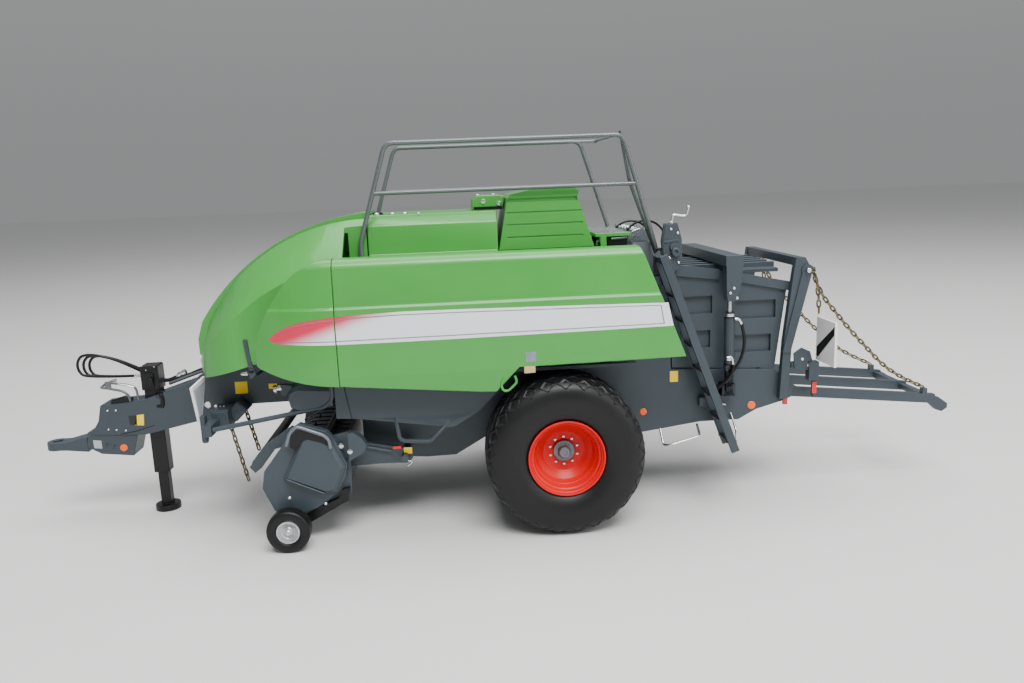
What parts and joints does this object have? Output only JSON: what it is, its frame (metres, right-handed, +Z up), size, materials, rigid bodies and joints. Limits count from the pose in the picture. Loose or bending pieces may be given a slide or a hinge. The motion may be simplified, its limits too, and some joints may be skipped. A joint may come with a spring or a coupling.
{
  "type": "toy scale model of a large square baler",
  "caption": "Die-cast scale model of a towed square baler with turning wheels, pickup reel, lifting side doors, folding bale chute and jack.",
  "frame": {"origin": "on the floor under the middle of the overall length, on the centre line", "axes": "+X towards the rear of the machine, where the bale leaves; +Y towards its right-hand side; +Z up"},
  "size_m": [0.309, 0.093, 0.1231],
  "materials": {
    "cover_green": "smooth satin green paint over moulded covers",
    "frame_grey": "dark slate grey enamel",
    "rail_grey": "dark grey satin wire",
    "tyre": "matt black rubber",
    "rim_red": "satin red",
    "bright_metal": "silver",
    "hub_grey": "mid grey metal",
    "trim_black": "satin black",
    "marker_white": "white",
    "hose_black": "black limp vinyl"
  },
  "bodies": {
    "root": {"axle": "frame_grey", "chassis_plates": "frame_grey", "side_skirts": "frame_grey", "bale_chamber": "frame_grey", "chamber_floor": "frame_grey", "density_doors": "frame_grey", "density_top": "frame_grey", "density_yoke": "frame_grey", "density_cylinders": "trim_black", "rear_arch": "frame_grey", "rear_markers": "marker_white", "front_hood": "cover_green", "roof": "cover_green", "knotter_hood": "cover_green", "air_cowl": "cover_green", "platform": "cover_green", "knotter_stack": "hub_grey", "control_tower": "frame_grey", "crank": "bright_metal", "handrail": "rail_grey", "ladder": "frame_grey", "ladder_steps": "trim_black", "drawbar": "frame_grey", "hitch_tongue": "frame_grey", "jack_housing": "trim_black", "hose_holder": "rail_grey", "front_frame": "frame_grey", "front_markers": "marker_white", "guard_tubes": "rail_grey", "twine_boxes": "frame_grey", "feeder_housing": "frame_grey", "lift_chains": "bright_metal", "hose_near": "hose_black", "hose_middle": "hose_black", "hose_far": "hose_black"},
    "wheel_left": {"tyre_left": "tyre", "rim_left": "rim_red", "hub_left": "hub_grey"},
    "door_left": {"door_panel_left": "cover_green", "door_nose_left": "cover_green"},
    "wheel_right": {"tyre_right": "tyre", "rim_right": "rim_red", "hub_right": "hub_grey"},
    "door_right": {"door_panel_right": "cover_green", "door_nose_right": "cover_green"},
    "pickup": {"pickup_frame": "frame_grey", "pickup_shields": "frame_grey", "pickup_bands": "frame_grey", "crop_guard": "frame_grey", "gauge_arms": "trim_black"},
    "reel": {"reel": "trim_black"},
    "gauge_wheel_left": {"gauge_tyre_left": "tyre", "gauge_rim_left": "bright_metal"},
    "gauge_wheel_right": {"gauge_tyre_right": "tyre", "gauge_rim_right": "bright_metal"},
    "jack": {"jack_leg": "trim_black"},
    "chute": {"chute": "frame_grey", "chute_chains": "bright_metal"}
  },
  "joints": [
    {"name": "wheel_left_spin", "type": "hinge", "parent": "root", "child": "wheel_left", "pos_m": [0.02, -0.0355, 0.025], "axis": [0, 1, 0], "continuous": true},
    {"name": "wheel_right_spin", "type": "hinge", "parent": "root", "child": "wheel_right", "pos_m": [0.02, 0.0355, 0.025], "axis": [0, 1, 0], "continuous": true},
    {"name": "door_left_hinge", "type": "hinge", "parent": "root", "child": "door_left", "pos_m": [0, -0.0345, 0.0874], "axis": [-1, 0, 0], "range_deg": [0, 70]},
    {"name": "door_right_hinge", "type": "hinge", "parent": "root", "child": "door_right", "pos_m": [0, 0.0345, 0.0874], "axis": [1, 0, 0], "range_deg": [0, 70]},
    {"name": "pickup_lift", "type": "hinge", "parent": "root", "child": "pickup", "pos_m": [-0.03, 0, 0.0235], "axis": [0, 1, 0], "range_deg": [0, 11]},
    {"name": "reel_spin", "type": "hinge", "parent": "pickup", "child": "reel", "pos_m": [-0.0615, 0, 0.021], "axis": [0, 1, 0], "continuous": true},
    {"name": "gauge_wheel_left_spin", "type": "hinge", "parent": "pickup", "child": "gauge_wheel_left", "pos_m": [-0.0656, -0.0424, 0.0067], "axis": [0, 1, 0], "continuous": true},
    {"name": "gauge_wheel_right_spin", "type": "hinge", "parent": "pickup", "child": "gauge_wheel_right", "pos_m": [-0.0656, 0.0424, 0.0067], "axis": [0, 1, 0], "continuous": true},
    {"name": "jack_slide", "type": "slide", "parent": "root", "child": "jack", "axis": [0, 0, 1], "range_m": [0, 0.0115]},
    {"name": "chute_fold", "type": "hinge", "parent": "root", "child": "chute", "pos_m": [0.0965, 0, 0.0356], "axis": [0, -1, 0], "range_deg": [0, 80], "deforming": ["chute_chains"]}
  ]
}
